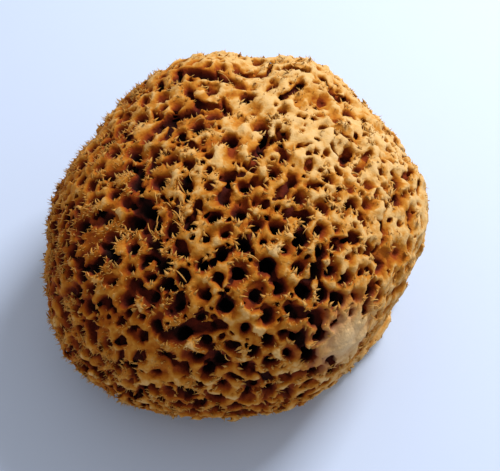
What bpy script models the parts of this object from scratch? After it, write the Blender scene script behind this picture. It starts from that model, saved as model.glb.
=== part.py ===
"""A dried bath sponge: one grown lump of springy skeleton, pitted all over by canal mouths and cut flat underneath.

Metres, +Z up. The origin is the middle of the flat cut, X runs left to right and -Y is the front."""

import math

import bmesh
import bpy
import numpy as np
from mathutils import Vector, noise

# Overall size, tips included
LENGTH = 0.130
WIDTH = 0.125
HEIGHT = 0.080

# The lump before its canals: half axes about its heart, and how square its curves are
HALF_LENGTH = 0.064
HALF_WIDTH = 0.061
HALF_HEIGHT = 0.045
SQUARENESS = 2.25
CUT_BELOW_HEART = 0.034
SWELL = 0.0022
SWELL_SPAN = 0.030

# Lobes and hollows of the lump: azimuth and elevation of the middle in degrees, height, spread in degrees
LOBES = (
    (226, -24, 0.0058, 28),
    (8, 8, 0.0035, 26),
    (38, 20, -0.0030, 16),
    (62, 30, 0.0042, 18),
    (100, 34, 0.0046, 18),
    (150, 12, -0.0068, 34),
    (322, -8, -0.0045, 22),
    (350, -14, -0.0045, 15),
    (281, -28, 0.0035, 18),
)

# The crease down the back, where two lobes met as they grew
CREASE_AZIMUTH = 77
CREASE_SPREAD = 6
CREASE_DEPTH = 0.0034

# The patch of smooth closed skin low on the right front, where dimples fill up and no canal opens
SKIN_AZIMUTH = 312
SKIN_ELEVATION = -4
SKIN_SPREAD = 13
SKIN_FILL = 0.85
SKIN_CLOSED = 0.4

# Canal mouths: how far apart they are, and how deep the dimples and the open canals go
MOUTH_SPACING = 0.0053
BASE_MOUTH_SPACING = 0.0086
SPACING_SWING = 0.28
DIMPLE_DEPTH = 0.0045
CANAL_DEPTH = 0.0090
BASE_CANAL_DEPTH = 0.0220
BASE_LAND = 0.0011
BASE_EDGE_SHARE = 0.94
DEPTH_SWING = 0.35
CANAL_SHARE = 0.34
FLOOR_SHARE = 0.74
LEAN_SHARE = 0.10
HEEL_RADIUS = 0.006

# Conules: the ragged points where crests meet, drawn out of the skin
CONULE_RISE = 0.0032
CREST_SAG = 0.0009

# The ledge: a lip of skin that curls out round the right front, just above the cut, and is widest on the right
LEDGE_START = -62
LEDGE_END = 22
LEDGE_STEPS = 14
LEDGE_SIDES = 8
LEDGE_RADIUS = 0.0455
LEDGE_FLARE = 0.0085
LEDGE_WIDEST = 0.8
LEDGE_ROOT = 0.6
LEDGE_LIFT = 0.0030
LEDGE_HALF_DEPTH = 0.0085
LEDGE_HALF_THICKNESS = 0.0036
LEDGE_CURL = 0.0030
LEDGE_END_SHARE = 0.5
LEDGE_TOP = 0.0110
LEDGE_MARGIN = 6
LEDGE_WAVE = 0.0024
LEDGE_WAVE_SPAN = 0.010

SEED = 61
DARTS = 60000
DRY_SPONGIN = (0.56, 0.33, 0.115, 1.0)


def direction(azimuth, elevation):
    """The unit vector at these angles in degrees, with azimuth 0 to the right and 90 to the back."""
    a, e = math.radians(azimuth), math.radians(elevation)
    return np.array((math.cos(e) * math.cos(a), math.cos(e) * math.sin(a), math.sin(e)))


def bell(distance, spread):
    """1 at no distance, falling to nothing past about two spreads."""
    return np.exp(-((distance / spread) ** 2))


def bell_about(dirs, azimuth, elevation, spread):
    """A bell over the unit vectors, about the one at these angles."""
    cosines = np.clip(dirs @ direction(azimuth, elevation), -1, 1)
    return bell(np.degrees(np.arccos(cosines)), spread)


def swell_noise(points):
    """Smooth noise from -1 to 1 at these points."""
    return np.array([noise.noise(Vector(p) / SWELL_SPAN) for p in points])


def lump_radius(dirs):
    """How far the uncut lump reaches from its heart along each unit vector."""
    scaled = np.abs(dirs / (HALF_LENGTH, HALF_WIDTH, HALF_HEIGHT)) ** SQUARENESS
    reach = scaled.sum(1) ** (-1 / SQUARENESS)
    for azimuth, elevation, height, spread in LOBES:
        reach += height * bell_about(dirs, azimuth, elevation, spread)
    reach += SWELL * swell_noise(dirs * reach[:, None])
    turned = (np.degrees(np.arctan2(dirs[:, 1], dirs[:, 0])) - CREASE_AZIMUTH + 180) % 360 - 180
    return reach - CREASE_DEPTH * bell(turned, CREASE_SPREAD) * np.clip(2 * dirs[:, 2], 0, 1)


def bareness(dirs):
    """1 in the middle of the smooth skin, 0 away from it."""
    return bell_about(dirs, SKIN_AZIMUTH, SKIN_ELEVATION, SKIN_SPREAD)


def in_base(dirs):
    """True where a unit vector leaves the lump through the flat cut."""
    return dirs[:, 2] * lump_radius(dirs) < -BASE_EDGE_SHARE * CUT_BELOW_HEART


def behind_ledge(dirs):
    """True where the ledge grows out of the skin, which has no mouths there."""
    places = dirs * lump_radius(dirs)[:, None]
    azimuths = np.degrees(np.arctan2(dirs[:, 1], dirs[:, 0]))
    inner = LEDGE_RADIUS - LEDGE_HALF_DEPTH - MOUTH_SPACING / 2
    return (
        (places[:, 2] < LEDGE_TOP - CUT_BELOW_HEART)
        & (np.hypot(places[:, 0], places[:, 1]) > inner)
        & (azimuths > LEDGE_START - LEDGE_MARGIN)
        & (azimuths < LEDGE_END + LEDGE_MARGIN)
    )


def canal_mouths(random):
    """Unit vectors to the middle of each mouth, thrown like darts that keep their distance."""
    darts = random.normal(size=(DARTS, 3))
    darts /= np.linalg.norm(darts, axis=1)[:, None]
    reach = lump_radius(darts)
    spacing = np.where(in_base(darts), BASE_MOUTH_SPACING, MOUTH_SPACING)
    gaps = spacing * (1 + SPACING_SWING * swell_noise(darts * reach[:, None] + 1)) / reach
    kept = np.empty((DARTS, 3))
    count = 0
    for dart, gap in zip(darts, gaps):
        if count == 0 or np.min(np.sum((kept[:count] - dart) ** 2, axis=1)) > gap * gap:
            kept[count] = dart
            count += 1
    return kept[:count]


def honeycomb(mouths):
    """A ball of fans: each fan has a mouth's middle as its hub, and a rim halfway to the next mouths."""
    mesh = bmesh.new()
    for mouth in mouths:
        mesh.verts.new(mouth)
    bmesh.ops.convex_hull(mesh, input=mesh.verts)
    hubs = list(mesh.verts)
    between_hubs = list(mesh.edges)
    bmesh.ops.poke(mesh, faces=list(mesh.faces))
    bmesh.ops.rotate_edges(mesh, edges=between_hubs)
    crests = [v for v in mesh.verts if v not in set(hubs)]
    return mesh, hubs, crests


def unit_rows(verts):
    """The unit vectors from the heart to these vertices."""
    rows = np.array([v.co for v in verts])
    return rows / np.linalg.norm(rows, axis=1)[:, None]


def middle_rows(faces):
    """The unit vectors from the heart to the middles of these faces."""
    return np.array([f.calc_center_median().normalized() for f in faces])


def raise_crests(crests, random):
    """Puts the crests on the lump's skin and draws some of their corners out into conules."""
    dirs = unit_rows(crests)
    rise = CONULE_RISE * random.random(len(crests)) ** 2 - CREST_SAG
    for vert, place in zip(crests, dirs * (lump_radius(dirs) + rise * (1 - bareness(dirs)))[:, None]):
        vert.co = place


def sink_dimples(hubs, random):
    """Sinks the hub of every fan, and returns the hubs that are to open into canals."""
    dirs = unit_rows(hubs)
    bare = bareness(dirs)
    depths = DIMPLE_DEPTH * (1 + DEPTH_SWING * random.uniform(-1, 1, len(hubs))) * (1 - SKIN_FILL * bare)
    closed = behind_ledge(dirs)
    heel = in_base(dirs) & (np.hypot(dirs[:, 0], dirs[:, 1]) * lump_radius(dirs) < HEEL_RADIUS)
    depths[in_base(dirs) | closed] = 0
    for vert, place in zip(hubs, dirs * (lump_radius(dirs) - depths)[:, None]):
        vert.co = place
    wide = (random.random(len(hubs)) < CANAL_SHARE) & (bare < SKIN_CLOSED)
    opens = (wide | in_base(dirs)) & ~heel & ~closed
    return [hub for hub, open_hub in zip(hubs, opens) if open_hub]


def bore_canals(mesh, hubs, random):
    """Opens these fans: each becomes one face, drawn in towards the heart to a smaller floor."""
    bmesh.ops.dissolve_verts(mesh, verts=hubs)
    mouths = [f for f in mesh.faces if len(f.verts) > 3]
    bases = [f for f, base in zip(mouths, in_base(middle_rows(mouths))) if base]
    bmesh.ops.inset_individual(mesh, faces=bases, thickness=BASE_LAND)
    floors = bmesh.ops.extrude_discrete_faces(mesh, faces=mouths)["faces"]
    for floor, base in zip(floors, in_base(middle_rows(floors))):
        middle = floor.calc_center_median()
        depth = BASE_CANAL_DEPTH if base else CANAL_DEPTH * (1 + DEPTH_SWING * random.uniform(-1, 1))
        lean = Vector(random.uniform(-1, 1, 3)) * LEAN_SHARE * MOUTH_SPACING
        for vert in floor.verts:
            vert.co = (middle + lean + (vert.co - middle) * FLOOR_SHARE) * (1 - depth / middle.length)


def fit_to_size(mesh):
    """Moves the cut to the ground, and scales what stands above it to the stated size."""
    for vert in mesh.verts:
        vert.co.z += CUT_BELOW_HEART
    kept = np.array([v.co for v in mesh.verts if v.co.z > 0])
    low, high = kept.min(0), kept.max(0)
    scale = Vector((LENGTH / (high[0] - low[0]), WIDTH / (high[1] - low[1]), HEIGHT / high[2]))
    middle = Vector(((low[0] + high[0]) / 2, (low[1] + high[1]) / 2, 0))
    for vert in mesh.verts:
        vert.co = (vert.co - middle) * scale


def new_object(name, mesh):
    """An object in the scene with this bmesh as its own mesh, all in triangles that face out."""
    bmesh.ops.triangulate(mesh, faces=list(mesh.faces))
    bmesh.ops.recalc_face_normals(mesh, faces=list(mesh.faces))
    data = bpy.data.meshes.new(name)
    mesh.to_mesh(data)
    mesh.free()
    made = bpy.data.objects.new(name, data)
    bpy.context.scene.collection.objects.link(made)
    return made


def grow_lump():
    """The sponge with its crests, dimples and canals, before it is cut off the rock."""
    random = np.random.default_rng(SEED)
    mesh, hubs, crests = honeycomb(canal_mouths(random))
    raise_crests(crests, random)
    bore_canals(mesh, sink_dimples(hubs, random), random)
    fit_to_size(mesh)
    return new_object("sponge", mesh)


def ledge_flare(share):
    """How far out the lip stands at this share of the way round, before it runs back into the skin."""
    if share < LEDGE_WIDEST:
        return LEDGE_FLARE * (share / LEDGE_WIDEST) ** 3
    return LEDGE_FLARE * (1 - ((share - LEDGE_WIDEST) / (1 - LEDGE_WIDEST)) ** 2)


def grow_ledge():
    """The lip of skin: a flattened ring section that thins out at both ends."""
    mesh = bmesh.new()
    rings = []
    for step in range(LEDGE_STEPS + 1):
        share = step / LEDGE_STEPS
        angle = math.radians(LEDGE_START + (LEDGE_END - LEDGE_START) * share)
        out = Vector((math.cos(angle), math.sin(angle), 0))
        full = LEDGE_END_SHARE + (1 - LEDGE_END_SHARE) * math.sin(math.pi * share) ** 0.5
        wave = LEDGE_WAVE * noise.noise(out * LEDGE_RADIUS / LEDGE_WAVE_SPAN)
        flare = ledge_flare(share)
        middle = LEDGE_RADIUS + flare
        ring = []
        for side in range(LEDGE_SIDES):
            turn = math.tau * side / LEDGE_SIDES
            root = LEDGE_ROOT * flare if math.cos(turn) < 0 else 0
            across = (LEDGE_HALF_DEPTH * full + wave + root) * math.cos(turn)
            lift = LEDGE_HALF_THICKNESS * math.sin(turn) + LEDGE_CURL * max(0, math.cos(turn)) * full
            ring.append(mesh.verts.new(out * (middle + across) + Vector((0, 0, LEDGE_LIFT + lift))))
        rings.append(ring)
    for near, far in zip(rings, rings[1:]):
        for side in range(LEDGE_SIDES):
            after = (side + 1) % LEDGE_SIDES
            mesh.faces.new((near[side], near[after], far[after], far[side]))
    mesh.faces.new(rings[0])
    mesh.faces.new(rings[-1])
    return new_object("ledge_form", mesh)


def rock_block():
    """A block that fills the space below the cut."""
    bpy.ops.mesh.primitive_cube_add(size=1)
    block = bpy.context.object
    block.name = "rock_cutter"
    block.scale = (2 * LENGTH, 2 * WIDTH, HEIGHT)
    block.location = (0, 0, -HEIGHT / 2)
    return block


def combine(target, operation, tool):
    """A Boolean on the target with a tool that is only a guide."""
    tool.hide_render = True
    tool.display_type = "WIRE"
    step = target.modifiers.new(tool.name, "BOOLEAN")
    step.operation = operation
    step.object = tool


def skeleton_material():
    """Dry spongin: matt tan fibre."""
    material = bpy.data.materials.new("dry_spongin")
    material.use_nodes = True
    shader = material.node_tree.nodes["Principled BSDF"]
    shader.inputs["Base Color"].default_value = DRY_SPONGIN
    shader.inputs["Roughness"].default_value = 0.9
    shader.inputs["Metallic"].default_value = 0.0
    return material


for old in list(bpy.data.objects):
    bpy.data.objects.remove(old)
sponge = grow_lump()
sponge.data.materials.append(skeleton_material())
combine(sponge, "UNION", grow_ledge())
combine(sponge, "DIFFERENCE", rock_block())
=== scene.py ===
import math

import bmesh
import bpy
import numpy as np
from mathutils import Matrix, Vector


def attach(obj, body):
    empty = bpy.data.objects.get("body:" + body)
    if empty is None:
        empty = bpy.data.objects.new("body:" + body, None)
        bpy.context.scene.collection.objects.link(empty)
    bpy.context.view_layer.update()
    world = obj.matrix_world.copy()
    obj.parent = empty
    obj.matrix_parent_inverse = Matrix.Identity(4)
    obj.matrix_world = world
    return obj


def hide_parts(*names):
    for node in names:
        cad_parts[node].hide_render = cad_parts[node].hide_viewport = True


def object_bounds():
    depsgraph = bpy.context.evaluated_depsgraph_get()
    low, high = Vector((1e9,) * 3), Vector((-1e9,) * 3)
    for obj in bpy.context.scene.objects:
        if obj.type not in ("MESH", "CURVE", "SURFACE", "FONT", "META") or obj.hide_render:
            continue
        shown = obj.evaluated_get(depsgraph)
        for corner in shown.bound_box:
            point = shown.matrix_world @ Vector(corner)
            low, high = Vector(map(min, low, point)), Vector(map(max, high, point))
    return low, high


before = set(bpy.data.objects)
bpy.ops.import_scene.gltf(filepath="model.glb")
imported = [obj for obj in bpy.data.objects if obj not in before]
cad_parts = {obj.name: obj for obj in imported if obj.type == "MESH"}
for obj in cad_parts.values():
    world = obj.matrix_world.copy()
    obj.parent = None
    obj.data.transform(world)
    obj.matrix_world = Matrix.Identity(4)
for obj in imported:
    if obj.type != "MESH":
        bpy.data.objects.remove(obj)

import openvdb
from mathutils import Vector, kdtree, noise

cad_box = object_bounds()
bpy.ops.object.select_all(action="DESELECT")

# The honeycomb. A bath sponge is a dried skeleton, and its form is given by its canal mouths and by the
# crests between them, which meet in conules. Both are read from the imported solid: a point far below those
# round it is in a mouth, and the others are crests.
HEART = np.array((0.0, 0.0, 0.034))
WELD = 1e-6
MOUTH_SINK = 0.0024
NEIGHBOURS = 14
TOP_PERCENTILE = 75
LEDGE_AZIMUTHS = (-69, 29)
LEDGE_TOP = 0.0115
LEDGE_INNER_RADIUS = 0.036

solid = bmesh.new()
solid.from_mesh(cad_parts["sponge"].data)
bmesh.ops.remove_doubles(solid, verts=solid.verts, dist=WELD)
solid.verts.index_update()
solid.verts.ensure_lookup_table()


def unit_rows(rows):
    """These vectors at unit length."""
    return rows / np.linalg.norm(rows, axis=-1)[..., None]


def on_ledge(x, y, z):
    """True for the points from the heart that are on the lip of skin round the right front."""
    azimuths = np.degrees(np.arctan2(y, x))
    return (
        (z < LEDGE_TOP - HEART[2])
        & (np.hypot(x, y) > LEDGE_INNER_RADIUS)
        & (azimuths > LEDGE_AZIMUTHS[0])
        & (azimuths < LEDGE_AZIMUTHS[1])
    )


corners = np.array([v.co for v in solid.verts]) - HEART
corner_reach = np.linalg.norm(corners, axis=1)
corner_dirs = unit_rows(corners)
nearby = kdtree.KDTree(len(corners))
for index, corner_dir in enumerate(corner_dirs):
    nearby.insert(corner_dir, index)
nearby.balance()
local_top = np.array([
    np.percentile([corner_reach[j] for _, j, _ in nearby.find_n(corner_dir, NEIGHBOURS)], TOP_PERCENTILE)
    for corner_dir in corner_dirs
])
on_cut = np.abs(corners[:, 2] + HEART[2]) < WELD
sunk = (corner_reach < local_top - MOUTH_SINK) & ~on_cut
is_crest = ~sunk & ~on_cut & ~on_ledge(*corners.T)

mouths = []
seen = np.zeros(len(corners), bool)
for start in np.nonzero(sunk)[0]:
    if seen[start]:
        continue
    seen[start] = True
    floor, rim, waiting = [], set(), [int(start)]
    while waiting:
        here = waiting.pop()
        floor.append(here)
        for edge in solid.verts[here].link_edges:
            other = edge.other_vert(solid.verts[here]).index
            if not sunk[other]:
                rim.add(other)
            elif not seen[other]:
                seen[other] = True
                waiting.append(other)
    if len(rim) < 3:
        continue
    rim = sorted(rim)
    middle = corners[rim].mean(0)
    mouths.append({
        "mouth": middle,
        "floor": corners[floor].mean(0),
        "width": np.linalg.norm(corners[rim] - middle, axis=1).mean(),
        "canal": len(floor) > 1,
        "under": on_cut[rim].mean() > 0.5,
    })

crest_ids = np.nonzero(is_crest)[0]
crests = corners[crest_ids]
crest_number = {int(c): n for n, c in enumerate(crest_ids)}
ridges = [
    (crest_number[e.verts[0].index], crest_number[e.verts[1].index])
    for e in solid.edges
    if e.verts[0].index in crest_number and e.verts[1].index in crest_number
]
solid_points = np.array([v.co for v in solid.verts])
solid_triangles = np.array([[v.index for v in f.verts] for f in solid.faces])
solid.free()

# The skin of the lump, as how far it reaches from the heart in each direction: a map by azimuth and
# elevation, smoothed over the crests. One patch low on the right front is closed, with hardly a mouth.
MAP_STEP = 3
MAP_NEIGHBOURS = 24
SKIN_BLUR = 0.085
BARE_AZIMUTH = 306
BARE_ELEVATION = 11
BARE_SPREAD = 9
RAGGED_MIDDLE = 0.24
RAGGED_SWING = 0.9
RAGGED_LEAN = np.array((-0.10, -0.50, 0.22))
BROAD_SWING = 3.0
FINE_SWING = 7.0
FINE_SHARE = 0.7
SWING_OFFSET = Vector((5, 0, 0))


def direction(azimuth, elevation):
    """The unit vector at this azimuth and elevation, in degrees."""
    a, e = math.radians(azimuth), math.radians(elevation)
    return np.array((math.cos(e) * math.cos(a), math.cos(e) * math.sin(a), math.sin(e)))


crest_tree = kdtree.KDTree(len(crests))
for index, crest_dir in enumerate(unit_rows(crests)):
    crest_tree.insert(crest_dir, index)
crest_tree.balance()
crest_reach = np.linalg.norm(crests, axis=1)
skin_map = np.zeros((360 // MAP_STEP + 1, 180 // MAP_STEP + 1))
ragged_map = np.zeros(skin_map.shape)
for a in range(skin_map.shape[0]):
    for e in range(skin_map.shape[1]):
        towards = Vector(direction(a * MAP_STEP - 180, e * MAP_STEP - 90))
        found = crest_tree.find_n(towards, MAP_NEIGHBOURS)
        gaps = np.array([gap for _, _, gap in found])
        weights = np.exp(-((gaps / SKIN_BLUR) ** 2) + (gaps.min() / SKIN_BLUR) ** 2)
        skin_map[a, e] = (weights * crest_reach[[j for _, j, _ in found]]).sum() / weights.sum()
        broad = noise.noise(towards * BROAD_SWING + SWING_OFFSET)
        swing = broad + FINE_SHARE * noise.noise(towards * FINE_SWING)
        ragged_map[a, e] = RAGGED_MIDDLE + RAGGED_SWING * swing + RAGGED_LEAN @ np.array(towards)


def map_value(table, dirs):
    """A value read from a map along these unit vectors."""
    a = (np.degrees(np.arctan2(dirs[..., 1], dirs[..., 0])) + 180) / MAP_STEP
    e = (np.degrees(np.arcsin(np.clip(dirs[..., 2], -1, 1))) + 90) / MAP_STEP
    a0 = np.clip(a.astype(int), 0, table.shape[0] - 2)
    e0 = np.clip(e.astype(int), 0, table.shape[1] - 2)
    a, e = a - a0, e - e0
    low = table[a0, e0] * (1 - e) + table[a0, e0 + 1] * e
    high = table[a0 + 1, e0] * (1 - e) + table[a0 + 1, e0 + 1] * e
    return low * (1 - a) + high * a


def bareness(dirs):
    """1 in the middle of the closed patch of skin, falling to 0 away from it."""
    angles = np.degrees(np.arccos(np.clip(dirs @ direction(BARE_AZIMUTH, BARE_ELEVATION), -1, 1)))
    return np.exp(-((angles / BARE_SPREAD) ** 2))


def raggedness(dirs):
    """0 where the skin is flat between round mouths, 1 where it stands in tall ragged crests."""
    return np.clip(map_value(ragged_map, dirs), 0, 1)


def between(ends, share):
    """The value this share of the way from the first to the second."""
    return ends[0] + (ends[1] - ends[0]) * share


# The skeleton. Real spongin is a felt of fibres that looks solid from a step away. It is made here as a
# distance field on a grid: a body, ridges and conules on it, canals bored into it, then one closed mesh.
# Where a pair of sizes stands here, the first is for flat skin and the second for ragged skin, or they are
# the ends of a range.
VOXEL = 0.00050
FIELD_MARGIN = 0.004
BODY_SINK = (0.0002, 0.0026)
BLEND = 0.0006
RIM_BLEND = 0.0003
SKIN_RISE = 0.0020

random = np.random.default_rng(12)
low_corner, high_corner = (np.array(c) for c in cad_box)
field_low = low_corner - HEART - FIELD_MARGIN
field_shape = np.ceil((high_corner - low_corner + 2 * FIELD_MARGIN) / VOXEL).astype(int)
axes = [(field_low[k] + VOXEL * np.arange(field_shape[k])).astype(np.float32) for k in range(3)]


def smooth_min(a, b, blend):
    """The lower of two fields, rounded over where they meet."""
    share = np.clip(0.5 + 0.5 * (b - a) / blend, 0, 1)
    return b + (a - b) * share - blend * share * (1 - share)


def window(points, reach):
    """The grid's slices round these points, and the offsets along each axis that they hold."""
    low = np.clip(((np.min(points, axis=0) - reach - field_low) / VOXEL).astype(int), 0, field_shape - 1)
    high = np.clip(((np.max(points, axis=0) + reach - field_low) / VOXEL).astype(int) + 2, 1, field_shape)
    slices = tuple(slice(a, b) for a, b in zip(low, high))
    return slices, axes[0][slices[0]][:, None, None], axes[1][slices[1]][None, :, None], axes[2][slices[2]]


def along_segment(x, y, z, start, end):
    """How far along a segment each grid point is, from 0 to 1, and its distance from the segment."""
    run = end - start
    dx, dy, dz = x - start[0], y - start[1], z - start[2]
    share = np.clip((dx * run[0] + dy * run[1] + dz * run[2]) / (run @ run), 0, 1)
    gap = np.sqrt((dx - share * run[0]) ** 2 + (dy - share * run[1]) ** 2 + (dz - share * run[2]) ** 2)
    return share, gap


field = np.empty(field_shape, np.float32)
height = np.empty(field_shape, np.float32)
for i, x in enumerate(axes[0]):
    y, z = np.meshgrid(axes[1], axes[2], indexing="ij")
    slab = np.stack((np.full_like(y, x), y, z), -1)
    reach = np.linalg.norm(slab, axis=-1) + 1e-9
    slab /= reach[..., None]
    sink = between(BODY_SINK, raggedness(slab))
    height[i] = reach - map_value(skin_map, slab)
    field[i] = height[i] + sink * (1 - bareness(slab))

# The lands between the mouths, along the ridges and in stars round the crests
LAND_HALF_WIDTH = (0.0012, 0.0005)
LAND_WIDTHS = (0.7, 1.4)
LAND_WAIST = 0.5
LAND_LIFT = (-0.0008, 0.0005)
LAND_FLARE = 0.55
LAND_REACH = 0.0060
RIDGE_DROP = 0.0003
STAR_RADIUS = (0.0018, 0.0012)
STAR_WIDTHS = (0.6, 1.3)
STAR_RUN = 0.0012
STAR_STAND = 0.6
CREST_STAND = 0.35
JOINED_SHARE = 0.16
SIDE_MOUTH_SHARE = (0.40, 0.25)


def raise_land(start, end, half_width, lift):
    """Raises a flat-topped land with steep sides along a segment, or round a point, at the skin's level."""
    slices, x, y, z = window(np.array((start, end)), LAND_REACH)
    level = (np.linalg.norm(start) + np.linalg.norm(end)) / 2
    scale = level / np.sqrt(x * x + y * y + z * z)
    share, gap = along_segment(x * scale, y * scale, z * scale, start, end)
    above = height[slices] - lift
    waist = 1 - LAND_WAIST * 4 * share * (1 - share)
    sides = gap - half_width * waist + LAND_FLARE * np.minimum(above, 0)
    land = -smooth_min(-sides, -above, RIM_BLEND)
    field[slices] = smooth_min(field[slices], land, BLEND)


mouth_tree = kdtree.KDTree(len(mouths))
for index, pore in enumerate(mouths):
    mouth_tree.insert(unit_rows(pore["mouth"]), index)
mouth_tree.balance()
outward = unit_rows(crests)
skin_at_crests = outward * map_value(skin_map, outward)[:, None]
crests = skin_at_crests + CREST_STAND * (crests - skin_at_crests)
is_side_mouth = random.random(len(crests)) < between(SIDE_MOUTH_SHARE, raggedness(outward))
joined = []
for first, second in ridges:
    ends = np.array((crests[first], crests[second]))
    out = unit_rows(ends.mean(0))
    if random.random() < JOINED_SHARE:
        joined.append([index for _, index, _ in mouth_tree.find_n(out, 2)])
        continue
    half_width = between(LAND_HALF_WIDTH, raggedness(out)) * random.uniform(*LAND_WIDTHS)
    raise_land(ends[0], ends[1], half_width, random.uniform(*LAND_LIFT) - RIDGE_DROP)

for crest in crests:
    out = crest / np.linalg.norm(crest)
    end = crest + np.cross(out, random.normal(size=3)) * STAR_RUN
    half_width = between(STAR_RADIUS, raggedness(out)) * random.uniform(*STAR_WIDTHS)
    stand = STAR_STAND * (np.linalg.norm(crest) - float(map_value(skin_map, out)))
    raise_land(crest, end, half_width, random.uniform(*LAND_LIFT) + stand)

# The mouths of the canals: a funnel that narrows to a throat. They point down and to the front, and those on
# the right and the back are shallow bowls. Some pairs have run together.
MOUTH_SHARE = (0.42, 0.60)
MOUTH_WIDTHS = (0.65, 1.3)
MOUTH_RADIUS = (0.0009, 0.0026)
MOUTH_RISE = 0.0030
MOUTH_REACH = 0.0045
THROAT_SHARE = 0.62
CANAL_THROAT_SHARE = 0.9
CANAL_RUN_ON = 0.0030
PIT_RUN_ON = 0.0005
FUNNEL_SPAN = 0.0018
FUNNEL_RISE = 0.0010
PORE_TILT = np.array((0.05, -0.40, -0.10))
SHALLOW_SIDE = np.array((0.8, 0.6, 0.15))
SHALLOW_FROM = 0.1
SHALLOW_SPAN = 0.5
SHALLOW_NARROWING = 0.25
SHALLOW_FILLING = 0.80
CLOSED_BARENESS = 0.35
JOINED_SPAN = 0.0090
JOINED_SINK = (0.0012, 0.0030)
JOINED_RADIUS = (0.0010, 0.0017)
JOINED_REACH = 0.0030


def shallowness(dirs):
    """1 on the right and the back, where the mouths are shallow bowls, 0 in front and on the left."""
    return np.clip((dirs @ SHALLOW_SIDE - SHALLOW_FROM) / SHALLOW_SPAN, 0, 1)


def bore(start, end, radius, reach, blend=RIM_BLEND, stray=0.0):
    """Cuts a round canal with this radius, its end moved aside by the stray."""
    slices, x, y, z = window(np.array((start, end)), reach)
    _, gap = along_segment(x, y, z, start, end + stray)
    field[slices] = -smooth_min(-field[slices], gap - radius, blend)


for pore in mouths:
    out = unit_rows(pore["mouth"])
    inward = unit_rows(pore["floor"] - pore["mouth"])
    mouth_radius = pore["width"] * between(MOUTH_SHARE, raggedness(out)) * random.uniform(*MOUTH_WIDTHS)
    shallow = float(shallowness(out))
    mouth_radius = np.clip(mouth_radius * (1 - SHALLOW_NARROWING * shallow), *MOUTH_RADIUS)
    throat = mouth_radius * (CANAL_THROAT_SHARE if pore["canal"] else THROAT_SHARE)
    if not pore["under"]:
        inward = unit_rows(inward + PORE_TILT)
        if float(bareness(out)) > CLOSED_BARENESS:
            continue
    depth = np.linalg.norm(pore["floor"] - pore["mouth"]) * (1 - SHALLOW_FILLING * shallow)
    start = pore["mouth"] - inward * MOUTH_RISE
    end = pore["mouth"] + inward * (depth + (CANAL_RUN_ON if pore["canal"] else PIT_RUN_ON))
    slices, x, y, z = window(np.array((start, end)), MOUTH_REACH)
    share, gap = along_segment(x, y, z, start, end)
    below = share * np.linalg.norm(end - start) - MOUTH_RISE
    radius = throat + (mouth_radius - throat) * np.exp(-np.clip(below, -FUNNEL_RISE, 1) / FUNNEL_SPAN)
    field[slices] = -smooth_min(-field[slices], gap - radius, RIM_BLEND)

for pair in joined:
    ends = np.array([mouths[index]["mouth"] for index in pair])
    if np.linalg.norm(ends[0] - ends[1]) > JOINED_SPAN:
        continue
    ends -= unit_rows(ends) * random.uniform(*JOINED_SINK)
    bore(ends[0], ends[1], random.uniform(*JOINED_RADIUS), JOINED_REACH, BLEND)

# The long slots at the top left and in front, and the notch at the back. Each row is two ends as azimuth and
# elevation, then the radius and how far under the skin the slot lies.
SLOTS = (
    ((112, 42), (98, 48), 0.0019, 0.0022),
    ((98, 48), (86, 51), 0.0013, 0.0015),
    ((152, 54), (140, 56), 0.0021, 0.0026),
    ((140, 56), (124, 60), 0.0017, 0.0026),
    ((-150, 48), (-126, 42), 0.0015, 0.0022),
    ((-112, 22), (-94, 27), 0.0017, 0.0024),
    ((-72, 22), (-66, 12), 0.0016, 0.0022),
    ((78, 22), (75, 42), 0.0008, 0.0020),
)
SLOT_RISE = 0.0010


def skin_point(azimuth, elevation, sink):
    """The point this far under the skin in this direction, given in degrees."""
    out = direction(azimuth, elevation)
    return out * (float(map_value(skin_map, out)) - sink)


for first, second, radius, sink in SLOTS:
    start, end = skin_point(*first, sink), skin_point(*second, sink)
    for lift in (0, 0.5, 1):
        raised = [p * (1 + lift * (sink + SLOT_RISE) / np.linalg.norm(p)) for p in (start, end)]
        bore(raised[0], raised[1], radius, MOUTH_REACH, BLEND)

# Side mouths in the crests, and small mouths everywhere
SIDE_RADIUS = (0.0006, 0.0012)
SIDE_DEPTH = (0.0025, 0.0060)
SIDE_FILLING = 0.6
SIDE_TILT_SHARE = 0.5
SIDE_STRAY = 0.0008
SIDE_REACH = 0.0022
SMALL_MOUTHS = 800
SMALL_RADIUS = (0.0004, 0.0008)
SMALL_DEPTH = 0.0030
SMALL_STRAY = 0.0006
SMALL_REACH = 0.0015
SMALL_CLEARANCE = 0.0020

is_side_mouth &= bareness(outward) < CLOSED_BARENESS
for crest in crests[is_side_mouth]:
    out = unit_rows(crest)
    sink = random.uniform(*SIDE_DEPTH) * (1 - SIDE_FILLING * float(shallowness(out)))
    start, end = crest + out * SKIN_RISE, crest + (PORE_TILT * SIDE_TILT_SHARE - out) * sink
    stray = random.normal(size=3) * SIDE_STRAY
    bore(start, end, random.uniform(*SIDE_RADIUS), SIDE_REACH, stray=stray)

for _ in range(SMALL_MOUTHS):
    out = unit_rows(random.normal(size=3))
    skin = float(map_value(skin_map, out))
    if out[2] * skin < SMALL_CLEARANCE - HEART[2] or float(bareness(out)) > CLOSED_BARENESS:
        continue
    start, end = out * (skin + SKIN_RISE), out * (skin - SMALL_DEPTH)
    stray = random.normal(size=3) * SMALL_STRAY
    bore(start, end, random.uniform(*SMALL_RADIUS), SMALL_REACH, stray=stray)

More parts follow.
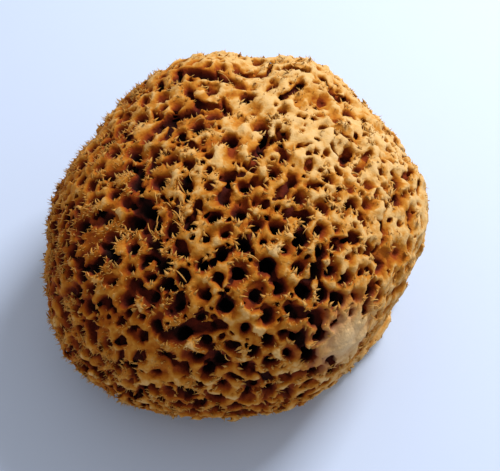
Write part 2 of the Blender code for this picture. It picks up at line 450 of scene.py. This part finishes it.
# The lip of skin keeps the form that the solid has there, with pits all over it. The canals that the cut
# opens are bored from below, and then the sponge is cut level.
LIP_BAND = 6
LIP_PITS = 420
LIP_PIT_RADIUS = (0.0003, 0.0008)
LIP_PIT_RISE = 0.0010
LIP_PIT_DEPTH = 0.0012
LIP_PIT_STRAY = 0.0003
LIP_PIT_REACH = 0.0018
CUT_MOUTHS = 420
CUT_RADIUS = 0.046
CUT_DEPTH = (0.003, 0.007)

solid_grid = openvdb.FloatGrid.createLevelSetFromPolygons(
    (solid_points - HEART - field_low).astype(np.float32),
    triangles=solid_triangles.astype(np.uint32),
    transform=openvdb.createLinearTransform(voxelSize=VOXEL),
    halfWidth=LIP_BAND,
)
solid_field = np.empty(field_shape, np.float32)
solid_grid.copyToArray(solid_field)
on_lip = on_ledge(axes[0][:, None, None], axes[1][None, :, None], axes[2][None, None, :])
field[on_lip] = smooth_min(field[on_lip], solid_field[on_lip], BLEND)
del solid_field

triangle_corners = (solid_points - HEART)[solid_triangles]
lip_triangles = np.nonzero(on_ledge(*triangle_corners.mean(1).T))[0]
for index in random.choice(lip_triangles, LIP_PITS):
    first, second, third = triangle_corners[index]
    spot = random.dirichlet((1, 1, 1)) @ triangle_corners[index]
    inward = -unit_rows(np.cross(second - first, third - first))
    start = spot - inward * LIP_PIT_RISE
    end = spot + inward * LIP_PIT_DEPTH + random.normal(size=3) * LIP_PIT_STRAY
    bore(start, end, random.uniform(*LIP_PIT_RADIUS), LIP_PIT_REACH)

for _ in range(CUT_MOUTHS):
    azimuth, spread = random.uniform(0, math.tau), CUT_RADIUS * math.sqrt(random.random())
    start = np.array((spread * math.cos(azimuth), spread * math.sin(azimuth), -HEART[2] - SKIN_RISE))
    end = start + (0, 0, random.uniform(*CUT_DEPTH)) + random.normal(size=3) * SIDE_STRAY
    bore(start, end, random.uniform(*SIDE_RADIUS), SIDE_REACH)

field = np.maximum(field, -(axes[2] + HEART[2]))

# The field becomes one closed mesh. Warps bend its edges and give it the grain of felt, and it is thinned,
# most of all deep in the canals.
OUTSIDE = 0.01
WARP_SIZE = 0.0040
WARP_STRENGTH = 0.0016
FELT_SIZE = 0.0011
FELT_STRENGTH = 0.0010
DEEP = 0.0035
DEEP_THINNING = 0.85
SKELETON_TRIANGLES = 197000
FLAT_HEIGHT = 1e-5

grid = openvdb.FloatGrid(background=OUTSIDE)
grid.copyFromArray(field)
points, _, quads = grid.convertToPolygons(isovalue=0.0, adaptivity=0.0)
points = points * VOXEL + field_low + HEART
data = bpy.data.meshes.new("sponge_skeleton")
data.from_pydata(points, [], quads)
skeleton = bpy.data.objects.new("sponge_skeleton", data)
bpy.context.scene.collection.objects.link(skeleton)
skeleton.select_set(True)
bpy.context.view_layer.objects.active = skeleton


def apply_modifier(thing, kind, **settings):
    """Adds a modifier with these settings to an object and applies it."""
    step = thing.modifiers.new(kind.lower(), kind)
    for name, value in settings.items():
        setattr(step, name, value)
    with bpy.context.temp_override(object=thing, active_object=thing):
        bpy.ops.object.modifier_apply(modifier=step.name)


def push(name, size, detail, direction_name, strength):
    """Moves the skeleton's points by a procedural cloud with patches of this size."""
    texture = bpy.data.textures.new(name, "CLOUDS")
    texture.noise_scale = size
    texture.noise_depth = detail
    apply_modifier(skeleton, "DISPLACE", texture=texture, direction=direction_name, strength=strength,
                   mid_level=0.5)


def vertex_rows(mesh):
    """A mesh's vertices, measured from the heart."""
    rows = np.empty(len(mesh.vertices) * 3)
    mesh.vertices.foreach_get("co", rows)
    return rows.reshape(-1, 3) - HEART


def keep_in_box(mesh):
    """Moves what is below the cut or over the solid's top back to it, and gives the vertices."""
    rows = vertex_rows(mesh)
    rows[:, 2] = np.clip(rows[:, 2], -HEART[2], high_corner[2] - HEART[2])
    mesh.vertices.foreach_set("co", (rows + HEART).ravel())
    return rows


for axis_name in "XYZ":
    push("warp_" + axis_name, WARP_SIZE, 1, axis_name, WARP_STRENGTH)
push("felt", FELT_SIZE, 2, "NORMAL", FELT_STRENGTH)

places = keep_in_box(data)
reach = np.linalg.norm(places, axis=1)
depth = np.minimum(map_value(skin_map, places / reach[:, None]) - reach, places[:, 2] + HEART[2])
inner = skeleton.vertex_groups.new(name="inner")
deep = np.nonzero(depth > DEEP)[0]
inner.add([int(i) for i in deep], 1.0, "REPLACE")
apply_modifier(skeleton, "DECIMATE", ratio=1 - DEEP_THINNING * len(deep) / len(depth), vertex_group="inner")
skeleton.vertex_groups.clear()
triangle_count = len(skeleton.data.loops) - 2 * len(skeleton.data.polygons)
apply_modifier(skeleton, "DECIMATE", ratio=SKELETON_TRIANGLES / triangle_count)
data = skeleton.data
keep_in_box(data)

# Only the sponge itself is kept, and no crumb that the pores cut loose
thinned = bmesh.new()
thinned.from_mesh(data)
thinned.verts.ensure_lookup_table()
part_of = [-1] * len(thinned.verts)
part_sizes = []
for start in range(len(part_of)):
    if part_of[start] >= 0:
        continue
    number = len(part_sizes)
    part_of[start] = number
    waiting = [thinned.verts[start]]
    size = 0
    while waiting:
        here = waiting.pop()
        size += 1
        for edge in here.link_edges:
            other = edge.other_vert(here)
            if part_of[other.index] < 0:
                part_of[other.index] = number
                waiting.append(other)
    part_sizes.append(size)
sponge_part = int(np.argmax(part_sizes))
crumbs = [v for v in thinned.verts if part_of[v.index] != sponge_part]
bmesh.ops.delete(thinned, geom=crumbs, context="VERTS")
thinned.to_mesh(data)
thinned.free()
data.shade_smooth()
heights = np.array([v.co.z for v in data.vertices])
for face in data.polygons:
    face.use_smooth = bool(heights[list(face.vertices)].max() > FLAT_HEIGHT)
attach(skeleton, "root")
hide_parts("sponge")

# Dry spongin: a matt tawny protein felt. The crests are bleached pale and the walls of the canals keep their
# orange brown, their own colours; the darkening from there to near black far inside is painted shade. Steep
# walls are moved towards orange brown, partly their own colour and partly painted shade; ragged skin and the
# left side get painted shade, and the mouths on the right and the back painted light. Noise scales are in
# patches a metre, so the mottling is about 2.6 mm across and the grain about 0.7 mm.
# The tones run from the pale crests through the walls' own orange brown to near black deep inside, which is
# painted shade.
SPONGIN_TONES = (
    (0.0, "#DFC194"), (0.14, "#CFA566"), (0.19, "#BB7C28"), (0.25, "#A25805"), (0.33, "#803001"),
    (0.44, "#4E1001"), (0.56, "#200401"), (0.68, "#0A0101"),
)
BARE_TONE = "#CFAF82"
BARE_DEPTH = 0.0015
# Steep walls are moved towards orange brown: partly their own unbleached colour, partly painted shade.
WALL_SHADE = 0.11
WALL_FACING = 0.9
# Painted shade: ragged skin, with its deep crests, is moved towards the darker tones.
RAGGED_PAINTED_SHADE = 0.04
# Painted shade: the left side, turned away from the key light, is moved towards the darker tones.
LEFT_PAINTED_SHADE = 0.05
LIP_SHADE = 0.07
# Painted light: the mouths on the shallow right and back, facing the key light, are moved towards the paler
# tones.
LIT_SIDE_PAINTED_LIGHT = 0.06
DEPTH_HIGH = -0.002
DEPTH_SPAN = 0.013
MOTTLE_SCALE = 380
MOTTLE_SWING = 0.14
MOTTLE_MIDDLE = 0.065
GRAIN_SCALE = 1400
GRAIN_HEIGHT = 0.0004


def linear(hex_colour):
    """A colour given as sRGB hex, as linear RGBA."""
    parts = [int(hex_colour[k:k + 2], 16) / 255 for k in (1, 3, 5)]
    return (*[p / 12.92 if p <= 0.04045 else ((p + 0.055) / 1.055) ** 2.4 for p in parts], 1.0)


def add_node(material, kind, settings=(), links=(), inputs=()):
    """Adds a node, with its settings, its unlinked inputs, and links given as (input, node, output)."""
    node = material.node_tree.nodes.new(kind)
    for name, value in dict(settings).items():
        setattr(node, name, value)
    for name, value in dict(inputs).items():
        node.inputs[name].default_value = value
    for name, source, output in links:
        material.node_tree.links.new(source.outputs[output], node.inputs[name])
    return node


def mark_depth(mesh, rows, shade=0):
    """Writes how far below the skin each point is, as a share of the span from the tips to deep inside, with
    painted shade on the left and from the given shade, painted light in the mouths on the right and the
    back, and a floor for the lip.
    """
    far = np.linalg.norm(rows, axis=1)
    dirs = rows / far[:, None]
    below = np.minimum(map_value(skin_map, dirs) - far, rows[:, 2] + HEART[2])
    # Painted shade on the left side is added to the depth share.
    share = (below - DEPTH_HIGH) / DEPTH_SPAN + LEFT_PAINTED_SHADE * np.clip(-dirs[:, 0], 0, 1)
    # Painted light: below the skin on the right and the back the tones are made paler.
    share -= LIT_SIDE_PAINTED_LIGHT * shallowness(dirs) * (below > 0)
    share = np.maximum(share, LIP_SHADE * on_ledge(*rows.T)) + shade
    mesh.attributes.new("depth", "FLOAT", "POINT").data.foreach_set("value", share.astype(np.float32))
    return below


def spongin_material(name, tones):
    """A matt felt coloured by how deep it lies, its own tones near the skin and painted shade deeper in,
    with mottling.
    """
    made = bpy.data.materials.new(name)
    made.use_nodes = True
    shader = made.node_tree.nodes["Principled BSDF"]
    shader.inputs["Roughness"].default_value = 0.9
    shader.inputs["Specular IOR Level"].default_value = 0.2
    place = [("Vector", add_node(made, "ShaderNodeTexCoord"), "Object")]
    mottle = add_node(made, "ShaderNodeTexNoise", links=place, inputs={"Scale": MOTTLE_SCALE, "Detail": 4})
    # The depth share read here carries painted shade and painted light as well as the depth.
    depth_and_painted_shade = add_node(made, "ShaderNodeAttribute", {"attribute_name": "depth"})
    shift = add_node(
        made, "ShaderNodeMath", {"operation": "MULTIPLY_ADD"}, [(0, mottle, "Fac"), (2, depth_and_painted_shade, "Fac")],
        {1: MOTTLE_SWING},
    )
    lower = add_node(
        made, "ShaderNodeMath", {"operation": "SUBTRACT"}, [(0, shift, "Value")], {1: MOTTLE_MIDDLE}
    )
    ramp = add_node(made, "ShaderNodeValToRGB", links=[("Fac", lower, "Value")])
    ramp.color_ramp.elements.remove(ramp.color_ramp.elements[1])
    for position, tone in tones:
        element = ramp.color_ramp.elements[0] if position == 0 else ramp.color_ramp.elements.new(position)
        element.color = linear(tone)
    bare_share = add_node(made, "ShaderNodeAttribute", {"attribute_name": "bare"})
    skin_tone = add_node(
        made, "ShaderNodeMix", {"data_type": "RGBA"}, [(0, bare_share, "Fac"), (6, ramp, "Color")],
        {7: linear(BARE_TONE)},
    )
    made.node_tree.links.new(skin_tone.outputs[2], shader.inputs["Base Color"])
    grain = add_node(made, "ShaderNodeTexNoise", links=place, inputs={"Scale": GRAIN_SCALE, "Detail": 2})
    bump = add_node(
        made, "ShaderNodeBump", links=[("Height", grain, "Fac")],
        inputs={"Strength": 0.6, "Distance": GRAIN_HEIGHT},
    )
    made.node_tree.links.new(bump.outputs["Normal"], shader.inputs["Normal"])
    return made


places = vertex_rows(data)
normals = np.array([n.vector for n in data.vertex_normals])
radial = unit_rows(places)
facing = (normals * radial).sum(1)
# Painted shade on steep walls and ragged skin, added to the depth share that the tones follow.
shade = WALL_SHADE * np.clip(WALL_FACING - facing, 0, 0.8) + RAGGED_PAINTED_SHADE * raggedness(radial)
depth = mark_depth(data, places, shade)
bare = bareness(radial) * (depth < BARE_DEPTH)
data.attributes.new("bare", "FLOAT", "POINT").data.foreach_set("value", bare.astype(np.float32))
data.materials.append(spongin_material("dry_spongin", SPONGIN_TONES))

# The prongs: the ends of fibre bundles. Flat teeth lie along the skin over the rims of the mouths, most of
# them over the front, and thin ones stand out of the conules, most of them on the left and the back. They
# grow in clumps about 6 mm apart.
RIM_PRONGS = 5000
RIM_LENGTH = (0.0009, 0.0019)
RIM_WIDTHS = (0.25, 0.45)
RIM_THINNESS = 0.45
RIM_FOOT = 0.0006
RIM_DEPTH = 0.0010
TIP_PRONGS = 4500
TIP_LENGTH = (0.0006, 0.0017)
TIP_LENGTH_LEFT = 0.0009
TIP_RADIUS = (0.00016, 0.00028)
TIP_FOOT = 0.0004
TIP_DEPTH = 0.0006
PRONG_SIDES = 3
PRONG_BEND = 0.22
PRONG_WAIST = 0.55
CLUMP_SCALE = 170
CLUMP_LEVEL = 0.10
CLUMP_LEAST = 0.03
LOWEST_ROOT = 0.0015
TOOTH_LEAN = np.array((0.15, 0.65, 0.25))
# Prongs and strands follow the depth share too: their pale tips are their own tone, the darkening lower down
# is painted shade, and the left side gets painted shade and the right and back painted light.
PRONG_TONES = ((0.0, "#CCA260"), (0.2, "#BC8336"), (0.32, "#9C5810"), (0.45, "#7A3403"))

clump = np.array([max(noise.noise(Vector(p) * CLUMP_SCALE) + CLUMP_LEVEL, CLUMP_LEAST) for p in places])
clump *= np.array(0.35 + 0.65 * raggedness(radial)) * (1 - bare) * (places[:, 2] + HEART[2] > LOWEST_ROOT)
sideways = unit_rows(normals - radial * facing[:, None] + 1e-6)
lean = np.clip(0.3 + sideways @ TOOTH_LEAN, 0.06, 1)


def pick(chances, count):
    """Picks this many vertices, more often where the chance is higher."""
    return random.choice(len(chances), count, replace=False, p=chances / chances.sum())


def grow_prongs(roots, ways, lengths, radii, thinness, name):
    """Tapered three-sided prongs with a bend, flattened along the skin by their thinness, as one mesh."""
    count = len(roots)
    side = unit_rows(np.cross(ways, unit_rows(roots) + random.normal(size=(count, 3)) * 0.25))
    across = np.cross(ways, side)
    bend = side * (lengths * random.uniform(-PRONG_BEND, PRONG_BEND, count))[:, None]
    turns = np.arange(PRONG_SIDES) * math.tau / PRONG_SIDES
    flat_ring = across[:, None] * (np.sin(turns) * thinness)[None, :, None]
    ring = side[:, None] * np.cos(turns)[None, :, None] + flat_ring
    foot = roots[:, None] + ring * radii[:, None, None]
    halfway = (roots + ways * lengths[:, None] * 0.5 + bend)[:, None]
    middle = halfway + ring * (radii * PRONG_WAIST)[:, None, None]
    tip = (roots + ways * lengths[:, None])[:, None]
    rows = np.concatenate((foot, middle, tip), axis=1).reshape(-1, 3)
    n = PRONG_SIDES
    faces = []
    for k in range(n):
        after = (k + 1) % n
        faces += [(k, after, n + after), (k, n + after, n + k), (n + k, n + after, 2 * n)]
    faces.append((2, 1, 0))
    faces = (np.array(faces)[None] + (np.arange(count) * (2 * n + 1))[:, None, None]).reshape(-1, 3)
    mesh = bpy.data.meshes.new(name)
    mesh.from_pydata(rows + HEART, [], faces)
    mesh.shade_smooth()
    made = bpy.data.objects.new(name, mesh)
    bpy.context.scene.collection.objects.link(made)
    mark_depth(mesh, rows)
    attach(made, "root")
    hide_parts("sponge")
    return made


rim = pick((depth < RIM_DEPTH) * (facing < 0.85) * (facing > 0.1) * clump * lean, RIM_PRONGS)
ways = sideways[rim] + random.uniform(0.0, 0.5, (len(rim), 1)) * radial[rim]
ways = unit_rows(ways + random.normal(size=(len(rim), 3)) * 0.25)
lengths = RIM_LENGTH[0] + RIM_LENGTH[1] * random.random(len(rim)) ** 2
radii = lengths * random.uniform(*RIM_WIDTHS, len(rim))
rim_prongs = grow_prongs(places[rim] - ways * RIM_FOOT, ways, lengths, radii, RIM_THINNESS, "rim_prongs")

fringe = 0.06 + np.clip(-radial[:, 0], 0, 1) + np.clip(radial[:, 1], 0, 1)
tips = pick((depth < TIP_DEPTH) * (facing > 0.4) * clump * fringe, TIP_PRONGS)
ways = unit_rows(radial[tips] + 0.5 * normals[tips] + random.normal(size=(len(tips), 3)) * 0.35)
lengths = random.uniform(*TIP_LENGTH, len(tips)) + TIP_LENGTH_LEFT * np.clip(-radial[tips, 0], 0, 1)
radii = random.uniform(*TIP_RADIUS, len(tips))
tip_prongs = grow_prongs(places[tips] - ways * TIP_FOOT, ways, lengths, radii, 1.0, "tip_prongs")

prong_material = spongin_material("bleached_spongin", PRONG_TONES)
rim_prongs.data.materials.append(prong_material)
tip_prongs.data.materials.append(prong_material)

# The strands: loose bundles of fibre that have come away and lie across the mouths, most of them in a few
# places on the left and one tangle on the right, above the closed skin.
STRAND_SPOTS = ((-146, 57), (-129, 57), (-139, 46), (-150, 66), (-39, 15), (-41, 12))
STRANDS_PER_SPOT = 4
STRAY_STRANDS = 14
STRAND_RADIUS = 0.00014
STRAND_SIDES = 4
STRAND_POINTS = 6
STRAND_SPREAD = 0.0025
STRAND_HEADING = 0.6
STRAND_LENGTH = (0.0025, 0.0060)
STRAND_RISE = (0.0001, 0.0007)
STRAND_BOW = 0.2
STRAND_LOWEST = 0.0060

middles = [
    skin_point(*spot, 0) + random.normal(size=3) * STRAND_SPREAD
    for spot in STRAND_SPOTS
    for _ in range(STRANDS_PER_SPOT)
]
stray = unit_rows(random.normal(size=(STRAY_STRANDS, 3)) * (1, 1, 0.8) + (0, -0.4, 0.7))
middles = np.concatenate((middles, stray * map_value(skin_map, stray)[:, None]))
middles = middles[(bareness(unit_rows(middles)) < 0.5) & (middles[:, 2] + HEART[2] > STRAND_LOWEST)]
count = len(middles)
out = unit_rows(middles)
east = unit_rows(np.cross((0, 0, 1), out))
north = np.cross(out, east)
headings = random.normal(-STRAND_HEADING, 0.5, count)[:, None]
along = east * np.cos(headings) + north * np.sin(headings)
across = np.cross(out, along)
lengths = random.uniform(*STRAND_LENGTH, count)
steps = np.linspace(-0.5, 0.5, STRAND_POINTS)
path = middles[:, None] + along[:, None] * (lengths[:, None] * steps)[..., None]
bows = random.uniform(-STRAND_BOW, STRAND_BOW, count)[:, None] * lengths[:, None] * (4 * steps**2)
path += across[:, None] * bows[..., None]
skin_here = map_value(skin_map, unit_rows(path))
rise = random.uniform(*STRAND_RISE, count)[:, None] * (1 - 8 * steps**2)
path = unit_rows(path) * (skin_here + rise)[..., None]
turns = np.arange(STRAND_SIDES) * math.tau / STRAND_SIDES
ring = across[:, None] * np.cos(turns)[None, :, None] + out[:, None] * np.sin(turns)[None, :, None]
thick = STRAND_RADIUS * random.uniform(0.7, 1.5, count)[:, None] * (1.1 - 1.6 * steps**2)[None]
rows = (path[:, :, None] + ring[:, None] * thick[..., None, None]).reshape(-1, 3)
n = STRAND_SIDES
faces = [
    (n * k + j, n * k + (j + 1) % n, n * k + n + (j + 1) % n, n * k + n + j)
    for k in range(STRAND_POINTS - 1)
    for j in range(n)
]
last = n * (STRAND_POINTS - 1)
faces += [(3, 2, 1, 0), (last, last + 1, last + 2, last + 3)]
faces = (np.array(faces)[None] + (np.arange(count) * n * STRAND_POINTS)[:, None, None]).reshape(-1, n)
mesh = bpy.data.meshes.new("strands")
mesh.from_pydata(rows + HEART, [], faces)
mesh.shade_smooth()
strands = bpy.data.objects.new("strands", mesh)
bpy.context.scene.collection.objects.link(strands)
mark_depth(mesh, rows)
mesh.materials.append(prong_material)
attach(strands, "root")
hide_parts("sponge")

# The studio: a plain pale floor just under the cut, a soft window of light from the right and behind, and a
# pale room.
FLOOR_SIZE = 4
FLOOR_HEIGHT = -0.0002
KEY_PLACE = (0.38, 0.38, 0.60)
KEY_SIZE = 0.30
KEY_ENERGY = 6.8
KEY_AIM = Vector((0, 0, 0.03))
ROOM_STRENGTH = 0.60

bpy.ops.mesh.primitive_plane_add(size=FLOOR_SIZE, location=(0, 0, FLOOR_HEIGHT))
floor = bpy.context.object
floor.name = "floor"
floor_paint = bpy.data.materials.new("floor_paint")
floor_paint.use_nodes = True
floor_shader = floor_paint.node_tree.nodes["Principled BSDF"]
floor_shader.inputs["Base Color"].default_value = linear("#C1D0EC")
floor_shader.inputs["Roughness"].default_value = 0.7
floor.data.materials.append(floor_paint)

bpy.ops.object.light_add(type="AREA", location=KEY_PLACE)
key = bpy.context.object
key.data.size = KEY_SIZE
key.data.energy = KEY_ENERGY
key.rotation_euler = (KEY_AIM - key.location).to_track_quat("-Z", "Y").to_euler()
world = bpy.data.worlds.new("room")
bpy.context.scene.world = world
world.use_nodes = True
world.node_tree.nodes["Background"].inputs["Color"].default_value = linear("#F4F2EE")
world.node_tree.nodes["Background"].inputs["Strength"].default_value = ROOM_STRENGTH
bpy.context.scene.view_settings.view_transform = "Standard"

# The camera looks down on the front of the sponge, which spans 390 of the picture's 500 pixels.
CAMERA_ELEVATION = math.radians(57)
CAMERA_DISTANCE = 0.42
IMAGE_SIZE = (500, 471)
SPONGE_PIXELS = 390
AIM = Vector((0, 0, 0.036))
AIM_PIXEL = (237, 229)
SENSOR = 36

backwards = Vector((0, -math.cos(CAMERA_ELEVATION), math.sin(CAMERA_ELEVATION)))
upwards = Vector((0, math.sin(CAMERA_ELEVATION), math.cos(CAMERA_ELEVATION)))
metres_a_pixel = (cad_box[1][0] - cad_box[0][0]) / SPONGE_PIXELS
aside = (IMAGE_SIZE[0] / 2 - AIM_PIXEL[0]) * metres_a_pixel
below = (AIM_PIXEL[1] - IMAGE_SIZE[1] / 2) * metres_a_pixel
shift = Vector((aside, 0, 0)) + upwards * below
bpy.ops.object.camera_add(location=AIM + shift + backwards * CAMERA_DISTANCE)
camera = bpy.context.object
camera.rotation_euler = (-backwards).to_track_quat("-Z", "Y").to_euler()
camera.data.sensor_width = SENSOR
camera.data.lens = SENSOR * CAMERA_DISTANCE / (metres_a_pixel * IMAGE_SIZE[0])
bpy.context.scene.camera = camera
